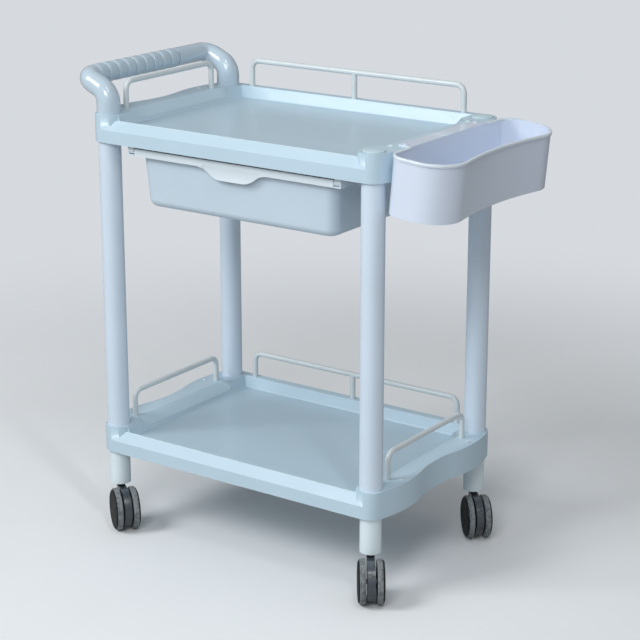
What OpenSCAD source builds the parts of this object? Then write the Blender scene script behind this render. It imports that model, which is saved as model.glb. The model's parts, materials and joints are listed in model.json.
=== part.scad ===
// Two-shelf moulded instrument cart with a drawer, a side bin, guard rails and twin-wheel casters.
// Millimetres. X runs along the long front, the front faces -Y, Z is up and the floor is z = 0.

/* [Posts] */
// Distance between the post axes along the long front
post_span_x = 555.5; // [480:1:640]
// Distance between the post axes from front to back
post_span_y = 342.5; // [300:1:420]
// Outer diameter of a post
post_d = 40; // [36:0.5:44]
// Wall of a post tube
post_wall = 2; // [1.5:0.1:4]
// Outer diameter of a leg below the lower tray
leg_d = 37.5; // [34:0.5:39]
// Wall of a leg tube
leg_wall = 3; // [2:0.1:5]
// Height of the leg's lower end above the floor
leg_bottom = 81; // [80:0.5:90]
// Depth of the plug that holds the caster stem in a leg
leg_plug = 40; // [30:1:50]

/* [Trays] */
// Height of the lower tray's skirt above the floor
lower_tray_z = 146.5; // [140:0.5:180]
// Height of the upper tray's skirt above the floor
upper_tray_z = 724.5; // [680:0.5:780]
// Height of a tray from its skirt to its ledges
tray_h = 49; // [46:0.5:54]
// Height of the tray floor's top above the skirt
floor_h = 27.5; // [23:0.5:30]
// Thickness of the tray floor
floor_t = 4; // [3:0.1:6]
// Wall of the tray moulding
tray_wall = 3; // [2.4:0.1:4]
// Wall of the round collar that holds a post
collar_wall = 4.2; // [3.5:0.1:5.5]
// How far the wavy ends stand out past the collars
lobe_out = 9.5; // [5:0.5:14]
// Distance of the two lobes of an end from the middle
lobe_y = 108.2; // [104:0.1:112]
// Width of the flat part of an end ledge at its lobes
ledge_w = 41.5; // [38:0.5:48]
// Drop of the ramp between an end ledge and the end wall of the recess
ramp_drop = 13.5; // [10:0.5:16]
// Half of the length of a ramp along its ledge
ramp_half_y = 123; // [110:1:130]
// How much further each end of a ramp reaches at the end wall
ramp_spread = 19; // [12:0.5:22]
// Distance of the end walls of the recess from the collars
wall_clear = 0.9; // [0.5:0.1:3]
// Run of an end wall of the recess between the ledge and the floor
wall_draft = 8; // [4:0.5:10]
// Height of the front face below its slope
face_h = 23; // [19:0.5:26]
// Height of the lowered front lip
lip_h = 38.7; // [35:0.1:42]
// Run of the slope between the front face and the lip
lip_bevel = 15.7; // [10:0.1:20]
// Width of the flat top of the lip
lip_w = 3; // [2:0.5:8]
// Run of the wall between the lip and the floor
lip_draft = 8; // [3:0.5:10]
// Width of the flat rim along the back
back_rim_w = 17; // [14:0.5:22]
// Run of the wall between the back rim and the floor
back_draft = 8.5; // [4:0.5:12]
// Depth of the stiffening ribs under the floor
rib_h = 5; // [3:0.5:8]
// Thickness of the stiffening ribs
rib_t = 2.5; // [2:0.1:4]

/* [Rails] */
// How far the head of a plug overlaps its rail hole
plug_lip = 1.5; // [1:0.25:3]
// Diameter of the guard rail rod
rail_d = 10; // [8:0.5:12]
// Height of the rail's axis above the ledge
rail_h = 48; // [40:1:60]
// Bend radius at the rail's axis
rail_bend = 16; // [12:1:24]
// Distance of an end rail's legs from the middle
end_rail_leg_y = 122; // [110:1:130]
// Distance of the end rails from the post axes, outwards
end_rail_out = 1.5; // [0:0.5:6]
// Distance of a back rail's outer legs from the middle
back_rail_leg_x = 231; // [200:1:240]
// Depth of a rail leg in its socket
rail_socket = 18; // [12:1:20]
// Wall of a rail socket
rail_socket_wall = 3; // [2:0.5:4]

/* [Handle] */
// Diameter of the handle where it stands on a collar
handle_foot_d = 42; // [40:0.5:46]
// Diameter of the handle beside the grip
handle_bar_d = 34.5; // [30:0.5:38]
// Straight length above the collar
handle_rise = 18; // [4:0.5:24]
// Radius of the outward bend
handle_lean_r = 28; // [25:0.5:36]
// Angle of the outward bend
handle_lean = 66; // [55:1:72]
// Radius of the corner bend into the bar
handle_corner_r = 21; // [20:0.5:28]
// Straight length between the two bends
handle_run = 17.3; // [8:0.1:24]
// Length of the ribbed grip
grip_l = 222; // [180:1:230]
// How far the grip sits in front of the middle of the bar
grip_shift = 36.5; // [0:0.5:38]
// Number of finger scallops on the grip
grip_ribs = 9; // [6:1:10]
// How far the crests of the grip stand out past the bar
grip_swell = 0.6; // [0.2:0.1:2]
// Height of a scallop above its groove
grip_rise = 2.2; // [1:0.1:3]
// Diameter of the spigots that carry the grip
grip_spigot_d = 24; // [18:0.5:26]
// Length of a spigot
grip_spigot_l = 22; // [15:1:30]

/* [Drawer] */
// Width of the tub across its upper edge
tub_w = 406; // [370:1:408]
// Depth of the tub from front to back
tub_d = 312; // [260:1:320]
// Height of the tub below its rim flange
tub_h = 91.5; // [60:0.5:110]
// Draft of the tub's walls over their height
tub_draft = 6; // [2:0.5:8]
// Wall of the tub
tub_wall = 2.5; // [2:0.1:4]
// Radius of the tub's upright corners
tub_corner = 24; // [14:1:30]
// Radius along the tub's lower side edges
tub_edge = 12; // [6:1:16]
// How far the tub's front stands behind the face of the front strip
tub_back = 13; // [11:0.5:18]
// How far the front strip stands behind the tray's face
strip_back = 10; // [6:0.5:14]
// Height of the front strip
strip_h = 13; // [10:0.5:16]
// Thickness of the front strip
strip_t = 4; // [3:0.1:5]
// Depth of the pull tongue below the strip
pull_h = 19; // [14:0.5:24]
// Width of the pull tongue at its root
pull_w = 152; // [120:1:180]
// Width of the flat lower edge of the pull tongue
pull_flat = 44; // [30:1:60]
// Thickness of the rim flange that slides in the runners
flange_t = 4; // [3:0.1:5]
// Gap between the tub's side and a runner
runner_gap = 8; // [7:0.5:16]
// Width of a runner
runner_w = 13; // [11:0.5:16]
// Height of the slotted part of a runner
runner_h = 13; // [12:0.5:16]
// Wall of a runner
runner_wall = 2.5; // [2:0.1:3]
// Height of the open part of a runner above its slot
runner_rise = 4.5; // [4:0.5:10]
// Length of a runner behind the rear of the tub
runner_over = 14; // [8:1:16]
// Width of the lug that is screwed to the tray
runner_lug = 10; // [9:0.5:11]

/* [Side bin] */
// Depth of the bin, away from the tray
bin_d = 111; // [90:1:130]
// Length of the bin along the tray's end
bin_l = 380; // [300:1:384]
// Height of the bin
bin_h = 98; // [70:1:120]
// Wall of the bin
bin_wall = 2.6; // [2:0.1:4]
// Radius of the bin's outer corners
bin_corner = 55; // [40:1:60]
// Radius of the corners beside the tray
bin_inner_corner = 32; // [20:1:40]
// Gap between the end of the tray and the bin
bin_gap = 2; // [1:0.5:4]
// Draw-in of the outer wall at its middle
bin_waist = 12; // [6:0.5:16]
// Outward lean of the hung bin in degrees
bin_lean = 5; // [3:0.5:6]
// Draft of the wall beside the tray over the bin's height
bin_draft = 6.5; // [6:0.1:12]
// Height of the rim bead
bead_h = 5; // [3:0.5:8]
// Overhang of the rim bead
bead_out = 1.8; // [1:0.1:3]
// Thickness of the flange that hangs the bin on the ledge
hook_t = 2.5; // [2:0.1:4]
// Width of the flange on the ledge
hook_w = 28; // [24:0.5:32]
// Length of the flange along the ledge
hook_l = 244; // [240:1:256]
// Slant of the flange's ends
hook_slant = 8; // [4:0.5:10]
// Distance of the flange screws from the ends of the flange
hook_screw_in = 11; // [8:0.5:16]
// Length of the small tab inside the bin's front lobe
tab_l = 16; // [10:1:24]
// How far that tab stands out from the wall
tab_out = 7; // [4:0.5:10]
// Thickness of that tab
tab_t = 2; // [1.5:0.1:3]

/* [Casters] */
// Wheel diameter
wheel_d = 78; // [70:0.5:80]
// Width of one wheel
wheel_w = 13.3; // [11:0.1:16]
// Width of the tyre on a wheel
tyre_w = 10; // [8:0.1:10.5]
// Horizontal distance from the swivel axis to the axle
caster_trail = 32; // [26:0.5:36]
// Width of the hood between the wheels
hood_w = 16.5; // [16:0.5:20]
// Gap between the hood and a wheel
hood_gap = 1.7; // [1:0.1:2.5]
// Height of the tyre's section
tyre_t = 7.5; // [6:0.5:10]
// How far the hub's outer flange stays below the tread
hub_flange_in = 2.5; // [1.5:0.5:4]
// Height of the hood's lower edge above the floor
hood_low = 11; // [8:0.5:16]
// How far the hood stays inside the tread
hood_in = 2; // [1:0.5:4]
// How far the wide part of the hood reaches below the axle
hood_shield = 8; // [4:0.5:12]
// How much smaller the hood is below its wide part
hood_step = 3; // [2:0.5:5]
// Lean of the stud on the hood, from upright
stud_lean = 50; // [30:5:70]
// Diameter of the stud on the hood
stud_d = 6; // [4:0.5:8]
// Thickness of the rim of a hub
hub_lip = 3; // [2:0.5:4]
// How far the face of a hub falls at its edge
hub_dome = 1.8; // [1:0.1:2.5]
// Axle diameter
axle_d = 8; // [6:0.5:10]
// Swivel stem diameter
stem_d = 11; // [8:0.5:11]
// Height of the neck between the hood and the leg
stem_neck = 6.5; // [4:0.5:8]
// Diameter of the stem's collar under the leg
stem_collar_d = 15; // [13:0.5:17]

/* [Screws] */
// Head diameter of the screws on the ledges
ledge_screw_d = 9; // [7:0.5:11]
// Head height of the screws on the ledges
ledge_screw_h = 2.6; // [2:0.1:4]
// Shank diameter of all screws
screw_d = 4; // [3:0.1:5]
// Distance of the ledge screws inside the lobes' crests
ledge_screw_in = 12; // [9:0.5:15]

/* [Fits] */
// Gap between assembled pieces that do not move
fit_gap = 0.1; // [0.05:0.01:0.2]
// Radial gap of a pin turning in its bore
run_gap = 0.05; // [0.02:0.01:0.1]
// Gap between pieces that slide or turn past each other
move_gap = 0.4; // [0.3:0.05:0.6]

/* [Hidden] */
$fn = 64;
eps = 1;
sides = [-1, 1];

post_x = post_span_x / 2;
post_y = post_span_y / 2;
post_r = post_d / 2;
socket_r = post_r + fit_gap;
collar_r = socket_r + collar_wall;
web_low = floor_h - floor_t;
lower_ledge_z = lower_tray_z + tray_h;
upper_ledge_z = upper_tray_z + tray_h;

// Plan of a tray: equal arcs for lobes and waist, the lobes running on into the collars.
// Arcs that touch are lapped by a hair, so that no step is left where they meet.
arc_lap = 0.02;
tray_half_y = post_y + collar_r;
lobe_x = post_x + collar_r + lobe_out;
lap_r = collar_r - arc_lap;
wave_r = (pow(lobe_x - post_x, 2) + pow(post_y - lobe_y, 2) - pow(lap_r, 2)) / (2 * (lobe_out + arc_lap));
waist_in = 2 * wave_r - sqrt(pow(2 * wave_r - arc_lap, 2) - pow(lobe_y, 2));
lobe_centre_x = lobe_x - wave_r;
waist_centre_x = lobe_x - waist_in + wave_r;
wave_join_y = lobe_y / 2;
function shoulder_y(inset) = post_y + (collar_r - inset) * (post_y - lobe_y) / (wave_r - collar_r);

// Inner edges of the tray recess
ramp_out_x = lobe_x - ledge_w;
wall_top_x = post_x - collar_r - wall_clear;
floor_x = wall_top_x - wall_draft;
ramp_in_x = wall_top_x - wall_draft * ramp_drop / (tray_h - floor_h);
ramp_low_h = tray_h - ramp_drop;
ramp_angle = atan2(ramp_drop, ramp_out_x - ramp_in_x);
lip_in_y = tray_half_y - lip_bevel - lip_w;
floor_front_y = lip_in_y - lip_draft;
rim_in_y = tray_half_y - back_rim_w;
floor_back_y = rim_in_y - back_draft;

// Guard rails
rail_r = rail_d / 2;
end_rail_x = post_x + end_rail_out;
back_rail_y = tray_half_y - back_rim_w * 0.55;
rail_hole_r = rail_r + fit_gap;
rail_boss_r = rail_hole_r + rail_socket_wall;
ledge_screw_x = lobe_x - ledge_screw_in;
ledge_screw_y = hook_l / 2 - hook_screw_in;

// Handle path: an upright foot, an outward bend, then a corner bend into the bar
foot_r = handle_foot_d / 2;
bar_r = handle_bar_d / 2;
lean_dir = [-sin(handle_lean), 0, cos(handle_lean)];
lean_end = [-handle_lean_r * (1 - cos(handle_lean)), 0, handle_rise + handle_lean_r * sin(handle_lean)];
corner_start = lean_end + handle_run * lean_dir;
bar_off = corner_start + handle_corner_r * lean_dir;
bar_x = -post_x + bar_off[0];
bar_z = upper_ledge_z + bar_off[2];
grip_front_y = -grip_shift - grip_l / 2;
grip_rear_y = grip_front_y + grip_l;
bend_steps = 8;
tube_sides = 28;

// Drawer
strip_y = -tray_half_y + strip_back;
tub_front_y = strip_y + tub_back;
tub_rear_y = tub_front_y + tub_d;
runner_in_x = tub_w / 2 + runner_gap;
runner_out_x = runner_in_x + runner_w;
runner_low = upper_tray_z - runner_h - runner_rise;
slot_low = runner_low + runner_wall;
flange_low = slot_low + move_gap;
flange_top = flange_low + flange_t;
slot_top = flange_top + move_gap;
runner_rear_y = tub_rear_y + runner_over;
runner_l = runner_rear_y - strip_y;
flange_x = runner_out_x - runner_wall - move_gap;
flange_rear_y = runner_rear_y - eps;
strip_x = runner_in_x - move_gap - eps;
strip_low = runner_low;
strip_top = strip_low + strip_h;
tub_low = flange_low - tub_h;
runner_screw_x = runner_in_x - runner_lug / 2;
runner_screw_ys = [strip_y + runner_l * 0.2, strip_y + runner_l * 0.8];
runner_rib_t = 10;
screw_bite = 12;
front_screw_xs = [-tub_w * 0.4, 0, tub_w * 0.4];
strip_return = 11;

// Side bin, built upright with its inner upper edge on its own origin
bin_x = lobe_x + bin_gap;
bin_z = upper_ledge_z + hook_t;
bin_half_l = bin_l / 2;
bin_lobe_y = bin_half_l - bin_corner;
bin_waist_r = (pow(bin_lobe_y, 2) + pow(bin_corner - bin_waist, 2) - pow(bin_corner - arc_lap, 2))
    / (2 * (bin_waist - arc_lap));
bin_waist_x = bin_d - bin_waist + bin_waist_r;

// Casters: place and trail direction of each, measured at the swivel axis
wheel_r = wheel_d / 2;
wheel_y = hood_w / 2 + hood_gap + wheel_w / 2;
hood_r = wheel_r - hood_in;
stem_r = stem_d / 2;
stem_collar_r = stem_collar_d / 2;
hood_top = leg_bottom - stem_neck;
stem_low = wheel_r + 0.75 * axle_d;
axle_r = axle_d / 2;
hub_r = wheel_r - tyre_t;
yaw_front_left = -38;
yaw_front_right = -54;
yaw_rear_left = 54;
yaw_rear_right = -47;

// The origin lies under the middle of the whole cart
grip_crest_r = bar_r + grip_swell;
far_left = -bar_x + grip_crest_r;
far_right = bin_x + (bin_d + bead_out) * cos(bin_lean);
origin_x = (far_right - far_left) / 2;

module placed() {
    translate([-origin_x, 0, 0]) children();
}

// Trays

// One lobe of a wavy end, kept between the waist and the collar it runs into
module end_lobe(sx, sy, inset) {
    to_y = shoulder_y(inset);
    intersection() {
        translate([sx * lobe_centre_x, sy * lobe_y]) circle(r = wave_r - inset);
        translate([sx * 0.75 * lobe_x, sy * (wave_join_y + to_y) / 2])
            square([lobe_x / 2, to_y - wave_join_y], center = true);
    }
}

module tray_plan(inset = 0) {
    difference() {
        union() {
            square([2 * post_x, 2 * (tray_half_y - inset)], center = true);
            square([2 * (lobe_x - waist_in / 2 - inset), 2 * lobe_y], center = true);
            for (sx = sides, sy = sides) {
                translate([sx * post_x, sy * post_y]) circle(r = collar_r - inset);
                end_lobe(sx, sy, inset);
            }
        }
        for (sx = sides)
            intersection() {
                translate([sx * waist_centre_x, 0]) circle(r = wave_r + inset);
                translate([sx * lobe_x, 0]) square([lobe_x, 2 * lobe_y], center = true);
            }
    }
}

// A prism along X from a profile in Y and Z
module along_x(length) {
    rotate([90, 0, 90]) linear_extrude(length, center = true) children();
}

// A prism along Y from a profile in X and Z
module along_y(length) {
    rotate([90, 0, 0]) linear_extrude(length, center = true) children();
}

module at_posts(x = 0, y = 0) {
    for (sx = sides, sy = sides) translate([sx * (post_x + x), sy * (post_y + y), 0]) children();
}

// Space over the floor: steep walls at the ends, a sloping back wall and a low front wall
module tray_recess() {
    intersection() {
        along_y(2 * post_span_y) polygon([
            [-floor_x, floor_h], [floor_x, floor_h], [wall_top_x, tray_h], [wall_top_x, tray_h + eps],
            [-wall_top_x, tray_h + eps], [-wall_top_x, tray_h]
        ]);
        along_x(2 * post_span_x) polygon([
            [-floor_front_y, floor_h], [floor_back_y, floor_h],
            [rim_in_y, tray_h], [rim_in_y, tray_h + eps],
            [-lip_in_y, tray_h + eps], [-lip_in_y, lip_h]
        ]);
    }
    for (sx = sides) mirror([sx < 0 ? 1 : 0, 0, 0]) end_ramp();
}

// Cut that lets an end ledge fall towards the recess, with ends that spread as they rise
module end_ramp() {
    reach = (ramp_out_x - floor_x) / cos(ramp_angle);
    over = ramp_drop;
    top = 2 * ramp_drop;
    spread = ramp_spread * top / ((ramp_out_x - wall_top_x) * sin(ramp_angle));
    translate([ramp_out_x, 0, tray_h]) rotate([0, -ramp_angle, 0]) translate([(over - reach) / 2, 0, 0])
        along_x(reach + over) polygon([
            [-ramp_half_y, 0], [ramp_half_y, 0], [ramp_half_y + spread, top], [-ramp_half_y - spread, top]
        ]);
}

module front_lip_cut() {
    difference() {
        along_x(2 * post_x) polygon([
            [-tray_half_y - eps, face_h], [-tray_half_y, face_h],
            [-tray_half_y + lip_bevel, lip_h], [-lip_in_y + eps, lip_h],
            [-lip_in_y + eps, tray_h + eps], [-tray_half_y - eps, tray_h + eps]
        ]);
        at_posts() cylinder(r = collar_r, h = 4 * tray_h, center = true);
    }
}

// Hollow below the floor, the lip, the back rim and the end ledges
module tray_hollow() {
    w = tray_wall;
    end_in = floor_x + w;
    front_in = floor_front_y + w;
    back_in = floor_back_y + w;
    lip_slope = (lip_h - face_h) / lip_bevel;
    slope_wall = w * sqrt(1 + lip_slope * lip_slope);
    translate([-end_in, -front_in, -eps]) cube([2 * end_in, front_in + back_in, web_low + eps]);
    difference() {
        intersection() {
            translate([0, 0, -eps]) linear_extrude(tray_h) tray_plan(w);
            union() {
                for (sx = sides)
                    mirror([sx < 0 ? 1 : 0, 0, 0])
                        translate([0, (back_in - front_in) / 2, 0]) along_y(front_in + back_in) polygon([
                            [end_in - eps, -2 * eps], [end_in - eps, web_low],
                            [end_in, web_low], [ramp_in_x + w, ramp_low_h - w / 2],
                            [ramp_out_x + w, tray_h - w], [2 * lobe_x, tray_h - w], [2 * lobe_x, -2 * eps]
                        ]);
                along_x(2 * (post_x - collar_r)) polygon([
                    [-tray_half_y, -2 * eps], [-tray_half_y, face_h - slope_wall],
                    [-lip_in_y - w, face_h - slope_wall + (tray_half_y - lip_in_y - w) * lip_slope],
                    [-front_in, web_low], [-front_in + eps, web_low], [-front_in + eps, -2 * eps]
                ]);
                along_x(2 * (post_x - collar_r)) polygon([
                    [tray_half_y, -2 * eps], [tray_half_y, tray_h - w],
                    [rim_in_y + w, tray_h - w], [back_in, web_low], [back_in - eps, web_low],
                    [back_in - eps, -2 * eps]
                ]);
            }
        }
        at_posts() cylinder(r = collar_r, h = 4 * tray_h, center = true);
    }
}

module rail_places() {
    for (sx = sides, sy = sides) translate([sx * end_rail_x, sy * end_rail_leg_y, tray_h]) children();
    for (x = [-back_rail_leg_x, 0, back_rail_leg_x]) translate([x, back_rail_y, tray_h]) children();
}

module ledge_screw_places() {
    for (sx = sides, sy = sides) translate([sx * ledge_screw_x, sy * ledge_screw_y, tray_h]) children();
}

// Ribs, sockets and bosses that stand in the hollow
module tray_ribs() {
    depth = floor_back_y + floor_front_y;
    mid = (floor_back_y - floor_front_y) / 2;
    for (x = [-0.4, 0, 0.4] * floor_x)
        translate([x - rib_t / 2, mid - depth / 2, web_low - rib_h]) cube([rib_t, depth, rib_h + eps]);
    for (y = [-0.5, 0, 0.5] * floor_front_y)
        translate([-floor_x, y - rib_t / 2, web_low - rib_h]) cube([2 * floor_x, rib_t, rib_h + eps]);
    for (sx = sides)
        translate([sx * runner_screw_x - runner_rib_t / 2, mid - depth / 2 - tray_wall, 0])
            cube([runner_rib_t, depth + 2 * tray_wall, web_low + eps]);
    rail_places() mirror([0, 0, 1]) cylinder(r = rail_boss_r, h = rail_socket + tray_wall);
    ledge_screw_places() mirror([0, 0, 1])
        cylinder(d = screw_d + 2 * tray_wall, h = screw_bite + tray_wall);
}

module tray() {
    color("#c3d2da") difference() {
        linear_extrude(tray_h) tray_plan();
        difference() {
            tray_hollow();
            tray_ribs();
        }
        tray_recess();
        front_lip_cut();
        at_posts() {
            translate([0, 0, floor_h]) cylinder(r = socket_r, h = tray_h);
            translate([0, 0, -eps]) cylinder(r = socket_r, h = web_low + eps);
        }
        rail_places() mirror([0, 0, 1])
            translate([0, 0, -eps]) cylinder(r = rail_hole_r, h = rail_socket + eps);
        ledge_screw_places() mirror([0, 0, 1])
            translate([0, 0, -eps]) cylinder(d = screw_d + 2 * fit_gap, h = screw_bite + fit_gap + eps);
        for (sx = sides, y = runner_screw_ys)
            translate([sx * runner_screw_x, y, -eps])
                cylinder(d = screw_d + 2 * fit_gap, h = screw_bite + fit_gap + eps);
    }
}

// Posts, legs and caps

module post(sx, sy) {
    low = lower_tray_z + floor_h;
    high = upper_tray_z + web_low;
    color("#cfd3dc") translate([sx * post_x, sy * post_y, low]) difference() {
        cylinder(r = post_r, h = high - low);
        translate([0, 0, -eps]) cylinder(r = post_r - post_wall, h = high - low + 2 * eps);
    }
}

module leg(sx, sy) {
    top = lower_tray_z + web_low;
    color("#cfd3dc") translate([sx * post_x, sy * post_y, 0]) difference() {
        union() {
            translate([0, 0, leg_bottom]) cylinder(d = leg_d, h = top - leg_bottom);
            translate([0, 0, lower_tray_z]) cylinder(r = post_r, h = web_low);
        }
        translate([0, 0, leg_bottom + leg_plug]) cylinder(r = leg_d / 2 - leg_wall, h = top);
        translate([0, 0, leg_bottom - eps]) cylinder(r = stem_r + fit_gap, h = leg_plug + 2 * eps);
    }
}

module post_cap(sy) {
    rise = 2.4;
    edge = 1.2;
    dome_r = (post_r * post_r + rise * rise) / (2 * rise);
    skirt = tray_h - floor_h - fit_gap;
    color("#c9d6da") translate([post_x, sy * post_y, upper_ledge_z]) {
        translate([0, 0, -skirt]) difference() {
            cylinder(r = post_r, h = skirt + edge);
            translate([0, 0, -eps]) cylinder(r = post_r - post_wall, h = skirt - post_wall + eps);
        }
        intersection() {
            translate([0, 0, edge + rise - dome_r]) sphere(r = dome_r);
            cylinder(r = post_r - edge, h = edge + rise);
        }
    }
}

module rail_hole_plugs() {
    head = rail_r + plug_lip;
    color("#c9d6da") for (sy = sides) translate([end_rail_x, sy * end_rail_leg_y, upper_ledge_z]) {
        mirror([0, 0, 1]) cylinder(r = rail_r, h = rail_socket - fit_gap);
        intersection() {
            cylinder(r = head, h = head);
            translate([0, 0, -head]) sphere(r = head * 1.4);
        }
    }
}

// Rails

// One rod in the XZ plane: legs at both ends of a bar, joined by quarter bends
module rail_hoop(half, mid_leg) {
    foot = rail_socket - fit_gap;
    for (s = sides) {
        translate([s * half, 0, -foot]) cylinder(r = rail_r, h = foot + rail_h - rail_bend);
        translate([s * (half - rail_bend), 0, rail_h - rail_bend]) mirror([s < 0 ? 1 : 0, 0, 0])
            rotate([90, 0, 0]) rotate_extrude(angle = 90) translate([rail_bend, 0]) circle(r = rail_r);
    }
    translate([-(half - rail_bend), 0, rail_h]) rotate([0, 90, 0])
        cylinder(r = rail_r, h = 2 * (half - rail_bend));
    if (mid_leg) translate([0, 0, -foot]) cylinder(r = rail_r, h = foot + rail_h);
}

module back_rail(ledge_z) {
    color("#e9e8dc") translate([0, back_rail_y, ledge_z]) rail_hoop(back_rail_leg_x, true);
}

module end_rail(sx, ledge_z) {
    color("#e9e8dc") translate([sx * end_rail_x, 0, ledge_z]) rotate([0, 0, 90])
        rail_hoop(end_rail_leg_y, false);
}

// Handle

// Rings of a tapering tube: each ring has a centre, two cross directions and a radius
function ring(c, u, v, r) = [for (k = [0 : tube_sides - 1])
    let (a = 360 * k / tube_sides) c + r * (cos(a) * u + sin(a) * v)];
function taper(t) = foot_r + (bar_r - foot_r) * t;
function lean_at(a) = [-handle_lean_r * (1 - cos(a)), 0, handle_rise + handle_lean_r * sin(a)];
function corner_at(a) = corner_start + handle_corner_r * (sin(a) * lean_dir + (1 - cos(a)) * [0, 1, 0]);
function lean_u(a) = [cos(a), 0, sin(a)];
function corner_v(a) = cos(a) * [0, 1, 0] - sin(a) * lean_dir;
function elbow_rings(bar_end) = concat(
    [ring([0, 0, 0], [1, 0, 0], [0, 1, 0], foot_r)],
    [for (k = [0 : bend_steps]) let (a = handle_lean * k / bend_steps)
        ring(lean_at(a), lean_u(a), [0, 1, 0], taper(0.5 * k / bend_steps))],
    [for (k = [0 : bend_steps]) let (a = 90 * k / bend_steps)
        ring(corner_at(a), lean_u(handle_lean), corner_v(a), taper(0.5 + 0.5 * k / bend_steps))],
    [ring(bar_off + [0, post_y - bar_end, 0], lean_u(handle_lean), -lean_dir, bar_r)]
);

module swept_tube(rings) {
    n = tube_sides;
    last = len(rings) - 1;
    points = [for (r = rings) each r];
    walls = [for (i = [0 : last - 1], k = [0 : n - 1])
        let (a = i * n + k, b = i * n + (k + 1) % n) each [[a, a + n, b], [b, a + n, b + n]]];
    ends = [[for (k = [0 : n - 1]) k], [for (k = [n - 1 : -1 : 0]) last * n + k]];
    polyhedron(points, concat(walls, ends), convexity = 6);
}

module handle_elbow(sy) {
    spigot = tray_h - floor_h - fit_gap;
    bar_end = sy > 0 ? grip_rear_y : -grip_front_y;
    color("#b9c6d3") mirror([0, sy > 0 ? 1 : 0, 0]) {
        translate([-post_x, -post_y, upper_ledge_z]) swept_tube(elbow_rings(bar_end));
        translate([-post_x, -post_y, upper_ledge_z - spigot]) cylinder(r = post_r, h = spigot + eps);
        translate([bar_x, -bar_end - eps, bar_z]) rotate([-90, 0, 0])
            cylinder(d = grip_spigot_d, h = grip_spigot_l + eps);
    }
}

// Finger grip turned from shallow arcs that meet in narrow grooves
module handle_grip() {
    pitch = grip_l / grip_ribs;
    steps = 6;
    crest = grip_crest_r;
    profile = [for (i = [0 : grip_ribs - 1], k = [0 : steps - 1])
        let (t = k / steps) [crest - grip_rise * pow(2 * t - 1, 4), (i + t) * pitch]];
    color("#b4c0cc") translate([bar_x, grip_front_y, bar_z]) rotate([-90, 0, 0]) difference() {
        rotate_extrude() polygon(concat([[0, 0]], profile, [[crest - grip_rise, grip_l], [0, grip_l]]));
        for (z = [-eps, grip_l - grip_spigot_l - fit_gap])
            translate([0, 0, z])
                cylinder(r = grip_spigot_d / 2 + fit_gap, h = grip_spigot_l + fit_gap + eps);
    }
}

// Drawer

module drawer_runner(sx) {
    top = upper_tray_z;
    color("#e6e4d8") mirror([sx < 0 ? 1 : 0, 0, 0]) difference() {
        translate([0, strip_y + runner_l / 2, 0]) along_y(runner_l) polygon([
            [runner_in_x, runner_low], [runner_out_x, runner_low], [runner_out_x, top],
            [runner_in_x - runner_lug, top], [runner_in_x - runner_lug, top - runner_wall],
            [runner_out_x - runner_wall, top - runner_wall],
            [runner_out_x - runner_wall, slot_top + runner_wall],
            [runner_in_x, slot_top + runner_wall], [runner_in_x, slot_top],
            [runner_out_x - runner_wall, slot_top], [runner_out_x - runner_wall, slot_low],
            [runner_in_x, slot_low]
        ]);
        for (y = runner_screw_ys)
            translate([runner_screw_x, y, top - 2 * runner_wall])
                cylinder(d = screw_d + 2 * fit_gap, h = 3 * runner_wall);
    }
}

module runner_screws() {
    head_h = 2;
    color("#b8bcc0") for (sx = sides, y = runner_screw_ys)
        translate([sx * runner_screw_x, y, upper_tray_z - runner_wall]) {
            cylinder(d = screw_d, h = runner_wall + screw_bite);
            translate([0, 0, -head_h]) cylinder(d = 2 * screw_d, h = head_h);
        }
}

// The tub's body, drawn in on every side by a given amount
module tub_body(inset) {
    half = tub_w / 2 - inset;
    front = tub_front_y + inset;
    rear = tub_rear_y - inset;
    low = tub_low + inset;
    top = flange_low + eps;
    d = tub_draft;
    r = tub_edge;
    c = tub_corner - inset;
    intersection() {
        translate([0, (front + rear) / 2, 0]) along_y(rear - front) difference() {
            polygon([[-half, top], [-half + d, low + r], [-half + d, low], [half - d, low],
                [half - d, low + r], [half, top]]);
            for (s = sides) difference() {
                translate([s * (half - d), low]) square(2 * r, center = true);
                translate([s * (half - d - r), low + r]) circle(r = r);
            }
        }
        along_x(tub_w) difference() {
            polygon([[front, top], [front + d, low + r], [front + d, low], [rear - d, low],
                [rear - d, low + r], [rear, top]]);
            for (end = [[front + d, 1], [rear - d, -1]]) difference() {
                translate([end[0], low]) square(2 * r, center = true);
                translate([end[0] + end[1] * r, low + r]) circle(r = r);
            }
        }
        translate([0, 0, low - eps]) linear_extrude(top - low + 2 * eps) {
            square([2 * half - 2 * c, 2 * (tub_d + tub_w)], center = true);
            translate([0, (front + rear) / 2]) square([2 * half, rear - front - 2 * c], center = true);
            for (x = [-half + c, half - c], y = [front + c, rear - c]) translate([x, y]) circle(r = c);
        }
    }
}

module drawer_tub() {
    front = strip_y + strip_t;
    color("#c9ced3") difference() {
        union() {
            tub_body(0);
            translate([-flange_x, front + fit_gap, flange_low])
                cube([2 * flange_x, flange_rear_y - front - fit_gap, flange_t]);
        }
        tub_body(tub_wall);
        translate([0, 0, flange_low]) linear_extrude(2 * flange_t) difference() {
            half = tub_w / 2 - tub_wall;
            depth = tub_d - 2 * tub_wall;
            c = tub_corner - tub_wall;
            translate([-half, tub_front_y + tub_wall]) square([2 * half, depth]);
            for (sx = sides, sy = [0, 1])
                translate([sx * half, tub_front_y + tub_wall + sy * depth]) difference() {
                    square(2 * c, center = true);
                    translate([-sx, 1 - 2 * sy] * c) circle(r = c);
                }
        }
        for (x = front_screw_xs)
            translate([x, front + strip_return / 2, flange_low - eps])
                cylinder(d = screw_d + 2 * fit_gap, h = flange_t + 2 * eps);
    }
}

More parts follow.
